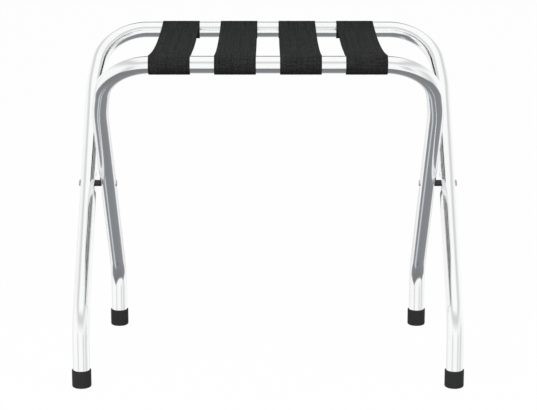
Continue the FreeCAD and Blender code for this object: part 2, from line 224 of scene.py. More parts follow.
# %% Rivet steel and spacer plastic
def rivet_plate():
    material, board = new_material("rivet_plate")
    place = object_place(board)
    grain = board.noise(stretched(board, place, (2600.0, 500.0, 500.0)), 1.0)
    cloud = board.noise(place, 320.0, 3.0)
    paint(
        board,
        Base_Color=board.mix(cloud, (0.44, 0.435, 0.425, 1), (0.56, 0.555, 0.545, 1)),
        Metallic=1.0,
        Roughness=0.03 + 0.05 * cloud,
        Normal=board.bump(grain, 0.00001),
    )
    return material


def moulded_plastic():
    material, board = new_material("moulded_plastic")
    place = object_place(board)
    skin = board.noise(place, 2400.0)
    cloud = board.noise(place, 260.0, 3.0)
    paint(
        board,
        Base_Color=board.mix(cloud, (0.0015, 0.0015, 0.0017, 1), (0.004, 0.004, 0.0043, 1)),
        Roughness=0.05 + 0.05 * cloud,
        Specular_IOR_Level=0.6,
        Normal=board.bump(skin, 0.00001),
    )
    return material


rivet_steel = rivet_plate()
spacer_plastic = moulded_plastic()
print("made", rivet_steel.name, spacer_plastic.name)

# %% [markdown]
# The tips are moulded rubber: matt, charcoal rather than black, with a fine pebbled skin. Rubber greys
# where it scuffs, so the colour lifts a little in the lowest few millimetres, in patches. Height in Object
# coordinates finds that band on every foot at once.


# %% Rubber
SCUFF_HEIGHT = 0.006


def tip_rubber():
    material, board = new_material("tip_rubber")
    place = object_place(board)
    height = board.add("ShaderNodeSeparateXYZ", {}, {"Vector": place})["Z"]
    patches = board.noise(place, 420.0, 4.0)
    scuffs = patches.step(0.50, 0.66) * (1 - height.step(0.0, SCUFF_HEIGHT))
    pebbles = board.noise(place, 1900.0, 3.0)
    bare = board.mix(patches, (0.025, 0.0255, 0.0253, 1), (0.036, 0.0365, 0.0363, 1))
    paint(
        board,
        Base_Color=board.mix(0.5 * scuffs, bare, (0.075, 0.075, 0.074, 1)),
        Roughness=0.62 + 0.14 * patches,
        Specular_IOR_Level=0.12,
        Normal=board.bump(pebbles, 0.00004),
    )
    return material


rubber = tip_rubber()
print("made", rubber.name)

# %% [markdown]
# The straps are black woven webbing. Their ribs are real geometry, made further down. The yarns on the ribs
# are too fine for that, so they are bump: floats that lean one way on one rib and the other way on the
# next, as a herringbone weave does. Two attributes that the strap's tree stores, `across` and `along`, in
# metres, keep the weave on the cloth wherever the strap bends. Long streaks of lighter yarn run down the
# span. Where the strap bends round its rail the weave opens, so there the crosswise picks and a coarser
# mottle show instead. The crest of the bend has a painted highlight, and painted shade darkens the span
# near the rail, the whole loop a little, and the grooves between the ribs.

# %% Webbing and thread
STRAP_WIDTH = 0.052
RIB_COUNT = 20
RIB_PITCH = STRAP_WIDTH / RIB_COUNT
YARN_PITCH = 0.0011
YARN_LEAN = 1.2
SELVEDGE = 0.0022
LOOP_START = 0.1713
OPENING = (LOOP_START - 0.012, LOOP_START + 0.010)
CREASE = (LOOP_START - 0.001, LOOP_START + 0.003)
CREST_END = (LOOP_START + 0.0064, LOOP_START + 0.0096)
RAIL_SHADE_START = 0.75 * LOOP_START
PATTERNS = {
    "streaks": {"scale": (520.0, 9.0, 1.0), "detail": 2.0, "on_span": 1.5, "on_loop": 0.8},
    "mottle": {"scale": (420.0, 520.0, 1.0), "detail": 4.0, "on_span": 0.9, "on_loop": 1.9},
    "picks": {"scale": (45.0, 620.0, 1.0), "detail": 2.0, "on_span": 0.0, "on_loop": 1.2},
}
BASE_LIGHT = 0.34
CREST_LIGHT = 0.15
RIB_LIGHT = 0.12
CLOUD_LIGHT = 0.2
RAIL_SHADE = 0.2
LOOP_SHADE = 0.04
DARK_YARN = (0.0105, 0.0107, 0.0105, 1)
SPAN_YARN = (0.0359, 0.0400, 0.0380, 1)
LOOP_YARN = (0.0368, 0.0380, 0.0372, 1)
EDGE_YARN = (0.008, 0.008, 0.008, 1)


def attribute(board, name):
    return board.add("ShaderNodeAttribute", {"attribute_name": name})["Fac"]


def weave(across, along):
    """The yarns' floats, the painted shade of the grooves between ribs and the strap's edges, each from 0 to
    1.
    """
    rib_place = across / RIB_PITCH + RIB_COUNT / 2
    lean_of_yarn = abs(rib_place.math("PINGPONG", rib_place, 1.0) - 0.5) * 2
    yarns = along / YARN_PITCH + YARN_LEAN * lean_of_yarn
    floats = yarns.math("SINE", yarns * math.tau) * 0.5 + 0.5
    groove_shade = 0.5 - 0.5 * rib_place.math("COSINE", rib_place * math.tau)
    edge = abs(across).step(STRAP_WIDTH / 2 - SELVEDGE, STRAP_WIDTH / 2)
    return floats, groove_shade, edge


def uneven_yarn(board, place, along, on_loop):
    """How much lighter the yarn is than its base, span and loop, with a painted crest highlight and painted
    shade.
    """
    beside = board.add("ShaderNodeSeparateXYZ", {}, {"Vector": place})["X"]
    on_cloth = board.add("ShaderNodeCombineXYZ", {}, {"X": beside, "Y": along})["Vector"]
    past_crease = along.step(*CREASE)
    # Painted highlight on the crest of the bend, and painted shade on the span near the rail and over the
    # loop.
    crest_highlight = past_crease * (1 - along.step(*CREST_END))
    shade_near_rail = along.step(RAIL_SHADE_START, LOOP_START) * (1 - past_crease)
    light = CREST_LIGHT * crest_highlight - RAIL_SHADE * shade_near_rail - LOOP_SHADE * on_loop
    for pattern in PATTERNS.values():
        spots = board.noise(stretched(board, on_cloth, pattern["scale"]), 1.0, pattern["detail"]) - 0.5
        weight = pattern["on_span"] + (pattern["on_loop"] - pattern["on_span"]) * on_loop
        light = light + weight * spots
    return light


def black_webbing():
    material, board = new_material("black_webbing")
    place = object_place(board)
    along = attribute(board, "along")
    floats, groove_shade, edge = weave(attribute(board, "across"), along)
    flecks = board.noise(place, 1500.0).step(0.46, 0.74)
    cloud = board.noise(place, 60.0, 3.0)
    on_loop = along.step(*OPENING)
    light = BASE_LIGHT + uneven_yarn(board, place, along, on_loop)
    # Painted shade: the grooves between the ribs are darker than the ribs.
    light = light + RIB_LIGHT * (groove_shade + floats) + CLOUD_LIGHT * (cloud - flecks)
    cloth = board.mix(light, DARK_YARN, board.mix(on_loop, SPAN_YARN, LOOP_YARN))
    paint(
        board,
        Base_Color=board.mix(0.55 * edge, cloth, EDGE_YARN),
        Roughness=0.78 + 0.16 * cloud,
        Specular_IOR_Level=0.04,
        Normal=board.bump(floats * (1 - edge) + 0.6 * flecks, 0.00012),
    )
    return material


def sewing_thread():
    material, board = new_material("sewing_thread")
    place = object_place(board)
    plies = board.noise(stretched(board, place, (1.0, 2.0, 1.0)), 2600.0)
    paint(
        board,
        Base_Color=board.mix(plies, (0.014, 0.0145, 0.0142, 1), (0.030, 0.0315, 0.0308, 1)),
        Roughness=0.55 + 0.2 * plies,
        Specular_IOR_Level=0.08,
        Normal=board.bump(plies, 0.00005),
    )
    return material


webbing = black_webbing()
thread = sewing_thread()
print("made", webbing.name, thread.name)

# %% [markdown]
# Three pieces of the rack follow a path: the tubes, the straps and the seams. Each is a Geometry Nodes tree
# that takes a line of edges and gives back a finished surface. `new_tree` makes a tree with named inputs,
# and `grow` runs it on a line and keeps the result as a plain mesh, because the modifier must be gone
# before the piece is handed on.

# %% Helpers for Geometry Nodes
SOCKETS = {
    float: "NodeSocketFloat",
    int: "NodeSocketInt",
    bpy.types.Material: "NodeSocketMaterial",
}


def new_tree(name, inputs):
    """A tree with a Geometry input and named inputs of the given types, with a wire from each."""
    tree = bpy.data.node_groups.new(name, "GeometryNodeTree")
    tree.interface.new_socket("Geometry", in_out="INPUT", socket_type="NodeSocketGeometry")
    tree.interface.new_socket("Geometry", in_out="OUTPUT", socket_type="NodeSocketGeometry")
    for label, kind in inputs.items():
        tree.interface.new_socket(label, in_out="INPUT", socket_type=SOCKETS[kind])
    board = Board(tree)
    return tree, board, board.add("NodeGroupInput")


def close_tree(board, geometry, material):
    """End a tree: real geometry, smooth, in one material."""
    geometry = board.add("GeometryNodeRealizeInstances", {}, {"Geometry": geometry})["Geometry"]
    geometry = board.add("GeometryNodeSetShadeSmooth", {}, {"Geometry": geometry})["Geometry"]
    inputs = {"Geometry": geometry, "Material": material}
    geometry = board.add("GeometryNodeSetMaterial", {}, inputs)["Geometry"]
    board.add("NodeGroupOutput", {}, {"Geometry": geometry})


def show(name, mesh):
    piece = bpy.data.objects.new(name, mesh)
    bpy.context.scene.collection.objects.link(piece)
    return piece


def grow(name, line, tree, values):
    """Run a tree on a line of edges, and keep what it makes as a plain mesh."""
    piece = show(name, line)
    modifier = piece.modifiers.new("grow", "NODES")
    modifier.node_group = tree
    for item in tree.interface.items_tree:
        if item.in_out == "INPUT" and item.name in values:
            modifier[item.identifier] = values[item.name]
    depsgraph = bpy.context.evaluated_depsgraph_get()
    grown = piece.evaluated_get(depsgraph)
    mesh = bpy.data.meshes.new_from_object(grown, preserve_all_data_layers=True, depsgraph=depsgraph)
    piece.modifiers.remove(modifier)
    piece.data = mesh
    mesh.name = name
    return piece


def line_mesh(name, points):
    edges = [(place, place + 1) for place in range(len(points) - 1)]
    mesh = bpy.data.meshes.new(name)
    mesh.from_pydata([tuple(point) for point in points], edges, [])
    return mesh


def coordinates(mesh):
    flat = np.empty(len(mesh.vertices) * 3, np.float32)
    mesh.vertices.foreach_get("co", flat)
    return flat.reshape(-1, 3).astype(float)


def move_points(mesh, points):
    mesh.vertices.foreach_set("co", points.astype(np.float32).ravel())
    mesh.update()


def triangles(piece):
    return sum(len(face.vertices) - 2 for face in piece.data.polygons)


# %% [markdown]
# A frame is one steel tube with six bends. One above each foot sets the foot upright. At each end of the
# rail a tight corner runs out into the leg through a second, much gentler bend, the shoulder. On the bench
# it is a straight tube and a bending die, and here it is the same: a line of straight runs, a Fillet Curve
# whose radius is stored on each corner, and a round section swept along the result. The CAD mesh of the
# tube has flat facets, which a mirror finish would show, so this smooth one replaces it.

# %% A tree that bends a tube
CORNER_RADIUS = 0.068
SHOULDER_LENGTH = 0.093
SHOULDER_LEAN = math.radians(8)
SHOULDER_RADIUS = 0.260
FOOT_BEND_RADIUS = 0.070
TUBE_RADIUS = 0.0111
TUBE_SIDES = 72
BEND_STEPS = 36

bender, board, given = new_tree(
    "tube_bender",
    {"Tube Radius": float, "Sides": int, "Bend Steps": int, "Material": bpy.types.Material},
)
runs = board.add("GeometryNodeMeshToCurve", {}, {"Mesh": given["Geometry"]})["Curve"]
bend = board.add("GeometryNodeInputNamedAttribute", {"data_type": "FLOAT"}, {"Name": "bend"})["Attribute"]
bent = board.add(
    "GeometryNodeFilletCurve",
    {"mode": "POLY"},
    {"Curve": runs, "Count": given["Bend Steps"], "Radius": bend},
)["Curve"]
section = board.add(
    "GeometryNodeCurvePrimitiveCircle",
    {},
    {"Resolution": given["Sides"], "Radius": given["Tube Radius"]},
)["Curve"]
tube = board.add(
    "GeometryNodeCurveToMesh",
    {},
    {"Curve": bent, "Profile Curve": section, "Fill Caps": True},
)["Mesh"]
close_tree(board, tube, given["Material"])
print("tube bender has", len(bender.nodes), "nodes")

# %% [markdown]
# One leg is drawn as if it stood in the middle of the rack, then set out to the right and mirrored to the
# left, with the rail between them. The straight runs carry extra points, so that the tube has rings along
# them: one every 8 mm, and one every millimetre at the pivot, where the tube is pressed next.

# %% The centreline of a frame
RING_PITCH = 0.008
PIVOT_RING_PITCH = 0.001
PIVOT_ZONE = 0.024
BEND_MARGIN = 0.002
CORNER_INSET = SHOULDER_LENGTH * math.tan(SHOULDER_LEAN)
CORNER_SETBACK = CORNER_RADIUS * math.tan((math.pi / 2 - SHOULDER_LEAN) / 2) + BEND_MARGIN
SHOULDER_SETBACK = SHOULDER_RADIUS * math.tan(SHOULDER_LEAN / 2) + BEND_MARGIN
KNEE_SETBACK = FOOT_BEND_RADIUS * math.tan(lean / 2) + BEND_MARGIN
FOOT_SOLE = 0.0045


def between(start, end, pitch):
    """Points from start to end, at about one pitch apart."""
    count = max(1, round((end - start).length / pitch))
    return [start.lerp(end, place / count) for place in range(count + 1)]


def leg_line(rail, up, foot_place):
    """One leg from toe to corner, as if in the middle of the rack, and the radius of each of its bends."""
    knee = pivot - up * (abs(foot_place.y) / math.sin(lean))
    shoulder = rail - up * SHOULDER_LENGTH
    slant = up * math.cos(SHOULDER_LEAN) - Vector((math.sin(SHOULDER_LEAN), 0, 0))
    corner = rail - Vector((CORNER_INSET, 0, 0))
    zone = up * PIVOT_ZONE
    toe = Vector((0, foot_place.y, FOOT_SOLE))
    points = between(toe, knee + Vector((0, 0, -KNEE_SETBACK)), RING_PITCH) + [knee]
    points += between(knee + up * KNEE_SETBACK, pivot - zone, RING_PITCH)
    points += between(pivot - zone, pivot + zone, PIVOT_RING_PITCH)[1:]
    points += between(pivot + zone, shoulder - up * SHOULDER_SETBACK, RING_PITCH)[1:] + [shoulder]
    points += between(shoulder + slant * SHOULDER_SETBACK, corner - slant * CORNER_SETBACK, RING_PITCH)
    points.append(corner)
    bends = np.zeros(len(points))
    for bend, radius in ((knee, FOOT_BEND_RADIUS), (shoulder, SHOULDER_RADIUS), (corner, CORNER_RADIUS)):
        bends[points.index(bend)] = radius
    return points, bends


def frame_line(name, half, up, foot_place):
    """The runs of one frame: foot, leg, rail, leg, foot, with each bend's radius stored on its point."""
    rail = pivot + up * (rails["rear"] - pivot).length
    leg, bends = leg_line(rail, up, foot_place)
    right = [point + Vector((half, 0, 0)) for point in leg]
    left = [Vector((-point.x, point.y, point.z)) for point in right]
    rail_end = Vector((half - CORNER_INSET - CORNER_SETBACK, 0, 0))
    top = between(rail - rail_end, rail + rail_end, RING_PITCH)
    mesh = line_mesh(name, left + top + right[::-1])
    bends = np.concatenate([bends, np.zeros(len(top)), bends[::-1]])
    mesh.attributes.new("bend", "FLOAT", "POINT").data.foreach_set("value", bends)
    return mesh


print(f"corners {CORNER_INSET * 1000:.1f} mm inside the legs")

# %% [markdown]
# At the pivot each leg is pressed from both sides: a long flat where the plastic spacer bears, and a small
# round seat behind it for the rivet's head or cap. A Boolean would leave sharp slivers in the mirror, so
# the points are simply pushed in: each goes no further out than the face of the punch, with a soft minimum
# that rounds the edge as real pressed metal rounds.

# %% Press the pivots
PRESS_DEPTH = 0.00215
PRESS_FLAT = 0.020
PRESS_NOSE = 0.008
PRESS_EDGE = 0.0007
SEAT_DEPTH = 0.0010
SEAT_RADIUS = 0.0048
SEAT_SHOULDER = 0.0012
SEAT_EDGE = 0.0002


def soft_minimum(first, second, blend):
    share = np.clip(0.5 + (second - first) / blend / 2, 0, 1)
    return second + (first - second) * share - blend * share * (1 - share)


def press_pivots(mesh, half, spacer_side, up):
    """Press both legs of a tube. spacer_side is -1 where the spacer is on the inner side of the legs."""
    points = coordinates(mesh)
    from_pivot = points - np.array(pivot)
    along = from_pivot @ np.array(up)
    aside = from_pivot @ np.array(up.cross(Vector((1, 0, 0))))
    past_flat = np.clip(np.abs(along) - PRESS_FLAT / 2, 0, PRESS_NOSE)
    flat_face = TUBE_RADIUS - PRESS_DEPTH + PRESS_NOSE - np.sqrt(PRESS_NOSE ** 2 - past_flat ** 2)
    past_seat = np.clip(np.hypot(along, aside) - SEAT_RADIUS, 0, None) / SEAT_SHOULDER
    seat_face = TUBE_RADIUS - SEAT_DEPTH + SEAT_DEPTH * past_seat ** 2
    for leg in (-1, 1):
        zone = (np.abs(along) < PIVOT_ZONE) & (points[:, 0] * leg > 0)
        towards_spacer = spacer_side * (points[zone, 0] * leg - half)
        pressed = soft_minimum(towards_spacer, flat_face[zone], PRESS_EDGE)
        pressed = -soft_minimum(-pressed, seat_face[zone], SEAT_EDGE)
        points[zone, 0] = leg * (half + spacer_side * pressed)
    move_points(mesh, points)


# %% [markdown]
# Now the two frames can be made.

# %% Bend and press the two frames
TUBE_INPUTS = {"Tube Radius": TUBE_RADIUS, "Sides": TUBE_SIDES, "Bend Steps": BEND_STEPS, "Material": chrome}


def chrome_frame(body, half, lean_sign, foot_place):
    up = Vector((0, lean_sign * math.sin(lean), math.cos(lean)))
    line = frame_line(f"{body}_line", half, up, foot_place)
    piece = grow(f"{body}_bright_tube", line, bender, TUBE_INPUTS)
    press_pivots(piece.data, half, -lean_sign, up)
    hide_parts(f"{body}_tube")
    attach(piece, body)
    print(piece.name, triangles(piece), "triangles")
    return piece


tubes = {
    "rear": chrome_frame("outer_frame", outer_half, 1, foot_places["front"]),
    "front": chrome_frame("inner_frame", inner_half, -1, foot_places["rear"]),
}

# %% [markdown]
# The small round pieces are turned: an outline of radius and height, spun about its axis. Arcs in the
# outline round off the edges, which is where small parts catch the light. One function makes them all.

# %% Turn a round piece
TURN_STEPS = 72
ARC_STEPS = 8
SHARP_ANGLE = math.radians(40)


def arc(across, up, radius, start, end):
    """Points of an arc in an outline, from one angle to another, in degrees."""
    angles = [math.radians(start + (end - start) * step / ARC_STEPS) for step in range(ARC_STEPS + 1)]
    return [(across + radius * math.cos(angle), up + radius * math.sin(angle)) for angle in angles]


def turned(name, outline, place, axis, material):
    """Spin an outline that starts and ends on the axis."""
    turn = Vector((0, 0, 1)).rotation_difference(axis)
    around = [math.tau * step / TURN_STEPS for step in range(TURN_STEPS)]
    rings = [(math.cos(angle), math.sin(angle)) for angle in around]
    points = [Vector((0, 0, outline[0][1]))]
    for radius, height in outline[1:-1]:
        points += [Vector((radius * across, radius * back, height)) for across, back in rings]
    points.append(Vector((0, 0, outline[-1][1])))
    last = len(points) - 1
    faces = []
    for step in range(TURN_STEPS):
        after = (step + 1) % TURN_STEPS
        faces.append((0, 1 + after, 1 + step))
        for ring in range(len(outline) - 3):
            low = 1 + ring * TURN_STEPS
            high = low + TURN_STEPS
            faces.append((low + step, low + after, high + after, high + step))
        faces.append((last - TURN_STEPS + step, last - TURN_STEPS + after, last))
    mesh = bpy.data.meshes.new(name)
    mesh.from_pydata([turn @ point + place for point in points], [], faces)
    mesh.materials.append(material)
    mesh.shade_smooth()
    mesh.set_sharp_from_angle(angle=SHARP_ANGLE)
    return show(name, mesh)


# %% [markdown]
# A rubber tip is a cup pushed over the end of the leg, with a thin rolled rim, a round lower edge and a
# shallow recess in the sole so that it grips with a ring. The leg stands in it, so the cup is really
# hollow.

# %% Rubber tips
TIP_HEIGHT = 0.0232
TIP_WALL = 0.00155
TIP_EDGE = 0.0024
TIP_RIM = 0.0005
RECESS_RADIUS = 0.006
RECESS_DEPTH = 0.001
TIP_FIT = 0.00003


def rubber_tip(name, body, node, place):
    outside = TUBE_RADIUS + TIP_WALL
    inside = TUBE_RADIUS + TIP_FIT
    outline = [(0, RECESS_DEPTH), (RECESS_RADIUS - TIP_RIM, RECESS_DEPTH), (RECESS_RADIUS, 0)]
    outline += arc(outside - TIP_EDGE, TIP_EDGE, TIP_EDGE, -90, 0)
    outline += arc(outside - TIP_RIM, TIP_HEIGHT - TIP_RIM, TIP_RIM, 0, 90)
    outline += arc(inside + TIP_RIM, TIP_HEIGHT - TIP_RIM, TIP_RIM, 90, 180)
    outline += [(inside, FOOT_SOLE), (0, FOOT_SOLE)]
    piece = turned(name, outline, Vector((place.x, place.y, 0)), Vector((0, 0, 1)), rubber)
    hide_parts(node)
    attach(piece, body)


for end, body in (("front", "outer_frame"), ("rear", "inner_frame")):
    for side in ("left", "right"):
        node = f"{end}_foot_{side}"
        rubber_tip(f"{end}_tip_{side}", body, node, middle(node))
print("rubber tips:", 2 * len(foot_places))

# %% [markdown]
# Each pivot is a rivet with a low domed head on the outside, a plastic spacer between the legs, and a domed
# cap that closes the rivet's inner end. The shank is there too, though only a section would show it.

# %% Rivets, caps and spacers
SHANK_RADIUS = 0.003
HEAD_RADIUS = 0.0044
HEAD_RIM = 0.0014
HEAD_CROWN = 0.0016
CAP_RIM = 0.0009
CAP_CROWN = 0.0011
SHANK_IN_CAP = 0.0012
SPACER_RADIUS = 0.00435
SPACER_EDGE = 0.0006
SPACER_BORE = 0.00305


def domed(shank_end, rim, crown):
    """The outline of a rivet or of its cap: from where the shank ends to the top of a low dome."""
    outline = [(0, shank_end), (SHANK_RADIUS, shank_end), (SHANK_RADIUS, 0), (HEAD_RADIUS, 0)]
    return outline + [(HEAD_RADIUS * across, rim + crown * up) for across, up in arc(0, 0, 1, 0, 90)]


def spacer_outline(spacer_half):
    face = spacer_half - SPACER_EDGE
    rim = SPACER_RADIUS - SPACER_EDGE
    outline = [(0, -spacer_half), (SPACER_BORE, -spacer_half)]
    outline += arc(rim, -face, SPACER_EDGE, -90, 0)
    outline += arc(rim, face, SPACER_EDGE, 0, 90)
    return outline + [(SPACER_BORE, spacer_half), (0, spacer_half)]


def pivot_pieces(side_name, side):
    out = Vector((side, 0, 0))
    seat = TUBE_RADIUS - SEAT_DEPTH
    outer_seat = pivot + out * (outer_half + seat)
    inner_seat = pivot + out * (inner_half - seat)
    between_legs = (outer_seat + inner_seat) / 2
    shank_length = outer_half - inner_half + 2 * seat + SHANK_IN_CAP
    rivet = domed(-shank_length, HEAD_RIM, HEAD_CROWN)
    cap = domed(SHANK_IN_CAP, CAP_RIM, CAP_CROWN)
    spacer = spacer_outline((outer_half - inner_half) / 2 - TUBE_RADIUS + PRESS_DEPTH)
    pieces = {
        "pivot_rivet": ("rivet", rivet, outer_seat, out, rivet_steel, "rivet_steel"),
        "rivet_cap": ("cap", cap, inner_seat, -out, rivet_steel, "rivet_steel"),
        "pivot_spacer": ("spacer", spacer, between_legs, out, spacer_plastic, "spacer_plastic"),
    }
    for node, (label, outline, place, axis, material, slot) in pieces.items():
        piece = turned(f"turned_{label}_{side_name}", outline, place, axis, material)
        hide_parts(f"{node}_{side_name}")
        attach(piece, "outer_frame")


for side_name, side in (("left", -1), ("right", 1)):
    pivot_pieces(side_name, side)
print("pivot pieces at", [round(x, 4) for x in pivot])

# %% [markdown]
# The straps are the soft part. Each is one length of webbing, looped round both rails and sewn back under
# itself. A cloth simulation would only find the gentle sag that is known already, and it would lose the
# ribs, so the strap is swept: a ribbed section follows a line that runs along the span, round the rail, and
# back under the span to the seam. The section's points start on a circle and are laid out by a rule: out
# along the top face and back along the lower one, with rounded edges and a ripple for the ribs. Each rib
# has a depth of its own, because no loom pulls its yarns quite alike.

# %% A tree that weaves a strap
STRAP_THICKNESS = 0.0010
RIB_DEPTH = 0.00022
RIB_PULL = {"Min": 0.25, "Max": 1.0}
RIB_SEED = 3
POINTS_PER_RIB = 4

loom, board, given = new_tree(
    "strap_loom",
    {
        "Width": float,
        "Thickness": float,
        "Ribs": int,
        "Rib Depth": float,
        "Seed": int,
        "Material": bpy.types.Material,
    },
)
line = board.add("GeometryNodeMeshToCurve", {}, {"Mesh": given["Geometry"]})["Curve"]
spline = board.add("GeometryNodeSplineParameter")
line = board.add(
    "GeometryNodeStoreNamedAttribute",
    {"data_type": "FLOAT", "domain": "POINT"},
    {"Geometry": line, "Name": "along", "Value": spline["Length"]},
)["Geometry"]
point_count = given["Ribs"] * (2 * POINTS_PER_RIB)
circle = board.add("GeometryNodeCurvePrimitiveCircle", {}, {"Resolution": point_count})["Curve"]
turn_share = board.add("GeometryNodeInputIndex")["Index"] / point_count
out_and_back = turn_share.math("PINGPONG", turn_share * 2, 1.0)
across = (out_and_back - 0.5) * given["Width"]
half_thickness = given["Thickness"] / 2
from_edge = (given["Width"] / 2 - abs(across)) / half_thickness
roundness = from_edge.math("MINIMUM", from_edge, 1.0)
edge_height = roundness.math("SQRT", roundness * (2 - roundness))
ripple = roundness.math("COSINE", out_and_back * given["Ribs"] * math.tau)
rib_number = turn_share.math("ROUND", out_and_back * given["Ribs"])
pull = board.add(
    "FunctionNodeRandomValue",
    {"data_type": "FLOAT"},
    {**RIB_PULL, "ID": rib_number, "Seed": given["Seed"]},
)["Value"]
face_height = edge_height * half_thickness - roundness * pull * given["Rib Depth"] * (0.5 + 0.5 * ripple)
face_side = turn_share.math("LESS_THAN", turn_share, 0.5) * 2 - 1
laid_out = board.add("ShaderNodeCombineXYZ", {}, {"X": across, "Y": face_height * face_side})["Vector"]
circle = board.add("GeometryNodeSetPosition", {}, {"Geometry": circle, "Position": laid_out})["Geometry"]
place = board.add("GeometryNodeInputPosition")["Position"]
section_across = board.add("ShaderNodeSeparateXYZ", {}, {"Vector": place})["X"]
circle = board.add(
    "GeometryNodeStoreNamedAttribute",
    {"data_type": "FLOAT", "domain": "POINT"},
    {"Geometry": circle, "Name": "across", "Value": section_across},
)["Geometry"]
cloth = board.add(
    "GeometryNodeCurveToMesh",
    {},
    {"Curve": line, "Profile Curve": circle, "Fill Caps": True},
)["Mesh"]
close_tree(board, cloth, given["Material"])
print("strap loom has", len(loom.nodes), "nodes")

# %% [markdown]
# The strap's line is drawn once, for a strap that comes from its rail at the origin: the first number is
# the way towards the middle of the span, and the second is up. The span is an arc, tangent to the loop. The
# loop hangs a little low on the rail, as a sewn loop does, and its tail comes up to lie under the span,
# where it is sewn.

# %% The line of half a strap
STRAP_SAG = 0.0089
LOOP_INSIDE = 0.0113
LOOP_DROP = 0.0006
LOOP_REACH = 0.034
SEAM_LENGTH = 0.032
TAIL_GAP = 0.00008
SPAN_PITCH = 0.004
LOOP_PITCH = math.radians(6)

span_half = rails["rear"].y
loop_radius = LOOP_INSIDE + STRAP_THICKNESS / 2
span_centre = Vector((span_half, (span_half ** 2 / STRAP_SAG - STRAP_SAG) / 2))
span_radius = span_centre.length - loop_radius


def on_span(across, below=0.0):
    """A point of the span, or below it."""
    drop = math.sqrt((span_radius + below) ** 2 - (span_centre.x - across) ** 2)
    return Vector((across, span_centre.y - drop))


def span_run(start, end, below=0.0):
    count = max(2, round(abs(end - start) / SPAN_PITCH))
    return [on_span(start + (end - start) * step / count, below) for step in range(count + 1)]


def loop_run(centre, start, end):
    count = max(2, round((end - start) / LOOP_PITCH))
    angles = [start + (end - start) * step / count for step in range(count + 1)]
    return [centre + loop_radius * Vector((math.cos(angle), math.sin(angle))) for angle in angles]


def strap_line():
    """The whole line, from the middle of the span round the loop to the end of the tail."""
    low = LOOP_DROP * Vector((math.sin(lean), -math.cos(lean)))
    tail_depth = STRAP_THICKNESS + TAIL_GAP
    tail_start = on_span(LOOP_REACH, tail_depth)
    towards_tail = tail_start - low
    top = math.atan2(span_centre.y, span_centre.x)
    far_side = math.pi + lean
    bearing = math.atan2(towards_tail.y, towards_tail.x)
    leaving = math.tau + bearing - math.acos(loop_radius / towards_tail.length)
    points = span_run(span_half, loop_radius * math.cos(top))
    points += loop_run(Vector((0, 0)), top, far_side)[1:]
    bottom = loop_run(low, far_side, leaving)
    points += bottom
    tail_steps = round((tail_start - bottom[-1]).length / SPAN_PITCH)
    points += [bottom[-1].lerp(tail_start, step / tail_steps) for step in range(1, tail_steps)]
    points += span_run(LOOP_REACH, LOOP_REACH + SEAM_LENGTH, tail_depth)
    return points


strap_points = strap_line()
half_length = sum((end - start).length for start, end in zip(strap_points, strap_points[1:]))
print(f"half a strap: {len(strap_points)} points, {half_length * 1000:.1f} mm of webbing")

# %% [markdown]
# Four straps lie side by side at an even pitch. The outer edges of the outer two reach a few millimetres
# past the straight part of the front rail, where the tube drops by less than the slack of the loop, so all
# four are woven alike. When the rack folds, a strap creases at mid-span and its loops slip round the rails.
# So each half simply rides on its own strap body, which turns about the rail. A bend blended in between
# frame and strap would pinch the cloth between the rails.

# %% Weave the straps
STRAP_PITCH = 0.082
STRAP_NUMBERS = (1, 2, 3, 4)
LOOM_INPUTS = {
    "Width": STRAP_WIDTH,
    "Thickness": STRAP_THICKNESS,
    "Ribs": RIB_COUNT,
    "Rib Depth": RIB_DEPTH,
    "Seed": RIB_SEED,
    "Material": webbing,
}


def strap_place(number):
    return (number - (len(STRAP_NUMBERS) + 1) / 2) * STRAP_PITCH


def strap_half(end, number):
    rail = rails[end]
    towards = -1 if rail.y > 0 else 1
    across = strap_place(number)
    points = [Vector((across, rail.y + towards * point.x, rail.z + point.y)) for point in strap_points]
    name = f"{end}_strap_{number}"
    piece = grow(name, line_mesh(f"{name}_line", points), loom, LOOM_INPUTS)
    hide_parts(f"{end}_strap_half_{number}")
    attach(piece, f"{end}_straps")
    return piece


for end in ("front", "rear"):
    for number in STRAP_NUMBERS:
        piece = strap_half(end, number)
print(piece.name, triangles(piece), "triangles")

# %% [markdown]
# The tail of each loop is sewn to the span with a box and a cross. A stitch is one short bead of thread,
# and the tree sets a copy of it at even steps along the seam's lines, on the top face and on the lower one,
# with a little seeded variation, because no machine lays two stitches quite alike.

# %% A tree that sews a seam
STITCH_PITCH = 0.0032
STITCH_LENGTH = 0.0027
STITCH_WIDTH = 0.0007
STITCH_RISE = 0.0004
STITCH_PULL = {"Min": 0.9, "Max": 1.06}
STITCH_SEED = 7
BEAD_SHAPE = {"Segments": 6, "Rings": 5, "Radius": 0.5}

sewing, board, given = new_tree(
    "sewing",
    {
        "Pitch": float,
        "Length": float,
        "Width": float,
        "Rise": float,
        "Seed": int,
        "Material": bpy.types.Material,
    },
)
seams = board.add("GeometryNodeMeshToCurve", {}, {"Mesh": given["Geometry"]})["Curve"]
needle = board.add(
    "GeometryNodeCurveToPoints",
    {"mode": "LENGTH"},
    {"Curve": seams, "Length": given["Pitch"]},
)
upright = board.add("ShaderNodeCombineXYZ", {}, {"Z": 1.0})["Vector"]
heading = board.add(
    "FunctionNodeAxesToRotation",
    {"primary_axis": "X", "secondary_axis": "Z"},
    {"Primary Axis": needle["Tangent"], "Secondary Axis": upright},
)["Rotation"]
bead = board.add("GeometryNodeMeshUVSphere", {}, BEAD_SHAPE)["Mesh"]
pull = board.add(
    "FunctionNodeRandomValue",
    {"data_type": "FLOAT"},
    {**STITCH_PULL, "Seed": given["Seed"]},
)["Value"]
bead_size = board.add(
    "ShaderNodeCombineXYZ",
    {},
    {"X": given["Length"] * pull, "Y": given["Width"] * pull, "Z": given["Rise"]},
)["Vector"]
stitches = board.add(
    "GeometryNodeInstanceOnPoints",
    {},
    {"Points": needle["Points"], "Instance": bead, "Rotation": heading, "Scale": bead_size},
)["Instances"]
close_tree(board, stitches, given["Material"])
print("sewing tree has", len(sewing.nodes), "nodes")

